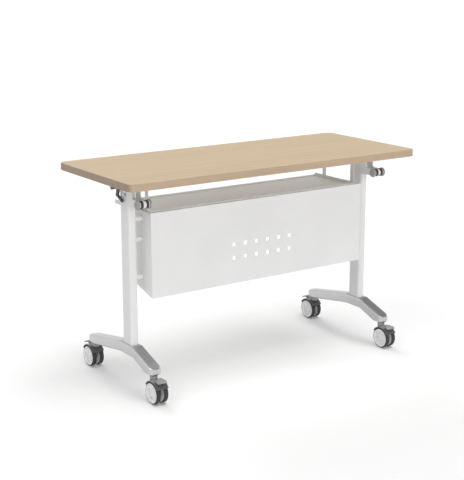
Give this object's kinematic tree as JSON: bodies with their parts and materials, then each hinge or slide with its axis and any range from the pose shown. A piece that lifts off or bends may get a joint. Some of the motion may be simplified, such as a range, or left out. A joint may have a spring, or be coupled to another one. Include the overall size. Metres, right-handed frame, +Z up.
{
  "type": "mobile training table",
  "caption": "Flip-top training table on T-legs with cast feet, locking twin-wheel casters, a perforated modesty panel and a book tray under an oak-coloured board.",
  "frame": {"origin": "on the floor under the middle of the board", "axes": "+X along the board, +Y from the modesty panel to the user's side, +Z up"},
  "size_m": [1.2, 0.521, 0.75],
  "materials": {
    "wood_top": "light oak laminate, satin",
    "edge_band": "oak-coloured plastic edging",
    "white_paint": "white powder coat",
    "silver_casting": "silver, fine satin",
    "black_nylon": "moulded nylon",
    "grey_nylon": "mid grey moulded nylon",
    "hub_plastic": "white moulded plastic",
    "tyre": "polyurethane tread",
    "steel": "zinc plated",
    "rubber": "soft pad"
  },
  "bodies": {
    "frame": {"column_left": "white_paint", "column_right": "white_paint", "foot_left": "silver_casting", "foot_right": "silver_casting", "head_left": "white_paint", "head_right": "white_paint", "column_inserts": "steel", "foot_bolts": "steel", "rest_pads": "rubber", "catch_pins": "steel", "hinge_pins": "steel", "hinge_bushings": "black_nylon", "hinge_caps": "black_nylon", "crossbeam": "white_paint", "modesty_panel": "white_paint", "panel_bolts": "steel", "panel_spacers": "white_paint", "rivet_nuts": "steel", "caster_stems": "steel"},
    "top": {"tabletop": "wood_top", "edge_band": "edge_band", "flip_bracket_left": "white_paint", "flip_bracket_right": "white_paint", "bracket_screws": "steel", "book_tray": "white_paint", "tray_hangers": "white_paint", "tray_rivets": "steel", "hanger_screws": "steel", "lever_pivots": "steel"},
    "lever_left": {"release_lever_left": "black_nylon"},
    "lever_right": {"release_lever_right": "black_nylon"},
    "swivel_front_left": {"caster_front_left_hood": "grey_nylon"},
    "wheels_front_left": {"caster_front_left_axle": "steel", "caster_front_left_hubs": "hub_plastic", "caster_front_left_tyres": "tyre"},
    "pedal_front_left": {"caster_front_left_brake_pedal": "grey_nylon"},
    "swivel_rear_left": {"caster_rear_left_hood": "grey_nylon"},
    "wheels_rear_left": {"caster_rear_left_axle": "steel", "caster_rear_left_hubs": "hub_plastic", "caster_rear_left_tyres": "tyre"},
    "pedal_rear_left": {"caster_rear_left_brake_pedal": "grey_nylon"},
    "swivel_front_right": {"caster_front_right_hood": "grey_nylon"},
    "wheels_front_right": {"caster_front_right_axle": "steel", "caster_front_right_hubs": "hub_plastic", "caster_front_right_tyres": "tyre"},
    "pedal_front_right": {"caster_front_right_brake_pedal": "grey_nylon"},
    "swivel_rear_right": {"caster_rear_right_hood": "grey_nylon"},
    "wheels_rear_right": {"caster_rear_right_axle": "steel", "caster_rear_right_hubs": "hub_plastic", "caster_rear_right_tyres": "tyre"},
    "pedal_rear_right": {"caster_rear_right_brake_pedal": "grey_nylon"}
  },
  "joints": [
    {"name": "top_flip", "type": "hinge", "parent": "frame", "child": "top", "pos_m": [0, -0.156, 0.66], "axis": [1, 0, 0], "range_deg": [0, 90]},
    {"name": "lever_left_turn", "type": "hinge", "parent": "top", "child": "lever_left", "pos_m": [-0.5226, -0.035, 0.705], "axis": [1, 0, 0], "range_deg": [-25, 0]},
    {"name": "lever_right_turn", "type": "hinge", "parent": "top", "child": "lever_right", "pos_m": [0.5226, -0.035, 0.705], "axis": [1, 0, 0], "range_deg": [-25, 0]},
    {"name": "swivel_front_left_turn", "type": "hinge", "parent": "frame", "child": "swivel_front_left", "pos_m": [-0.5, -0.203, 0.0375], "axis": [0, 0, 1], "continuous": true},
    {"name": "wheels_front_left_roll", "type": "hinge", "parent": "swivel_front_left", "child": "wheels_front_left", "pos_m": [-0.5, -0.223, 0.0375], "axis": [1, 0, 0], "continuous": true},
    {"name": "pedal_front_left_press", "type": "hinge", "parent": "swivel_front_left", "child": "pedal_front_left", "pos_m": [-0.5, -0.241, 0.0835], "axis": [1, 0, 0], "range_deg": [0, 12]},
    {"name": "swivel_rear_left_turn", "type": "hinge", "parent": "frame", "child": "swivel_rear_left", "pos_m": [-0.5, 0.203, 0.0375], "axis": [0, 0, 1], "continuous": true},
    {"name": "wheels_rear_left_roll", "type": "hinge", "parent": "swivel_rear_left", "child": "wheels_rear_left", "pos_m": [-0.5, 0.223, 0.0375], "axis": [1, 0, 0], "continuous": true},
    {"name": "pedal_rear_left_press", "type": "hinge", "parent": "swivel_rear_left", "child": "pedal_rear_left", "pos_m": [-0.5, 0.241, 0.0835], "axis": [-1, 0, 0], "range_deg": [0, 12]},
    {"name": "swivel_front_right_turn", "type": "hinge", "parent": "frame", "child": "swivel_front_right", "pos_m": [0.5, -0.203, 0.0375], "axis": [0, 0, 1], "continuous": true},
    {"name": "wheels_front_right_roll", "type": "hinge", "parent": "swivel_front_right", "child": "wheels_front_right", "pos_m": [0.5, -0.223, 0.0375], "axis": [1, 0, 0], "continuous": true},
    {"name": "pedal_front_right_press", "type": "hinge", "parent": "swivel_front_right", "child": "pedal_front_right", "pos_m": [0.5, -0.241, 0.0835], "axis": [1, 0, 0], "range_deg": [0, 12]},
    {"name": "swivel_rear_right_turn", "type": "hinge", "parent": "frame", "child": "swivel_rear_right", "pos_m": [0.5, 0.203, 0.0375], "axis": [0, 0, 1], "continuous": true},
    {"name": "wheels_rear_right_roll", "type": "hinge", "parent": "swivel_rear_right", "child": "wheels_rear_right", "pos_m": [0.5, 0.223, 0.0375], "axis": [1, 0, 0], "continuous": true},
    {"name": "pedal_rear_right_press", "type": "hinge", "parent": "swivel_rear_right", "child": "pedal_rear_right", "pos_m": [0.5, 0.241, 0.0835], "axis": [-1, 0, 0], "range_deg": [0, 12]}
  ]
}
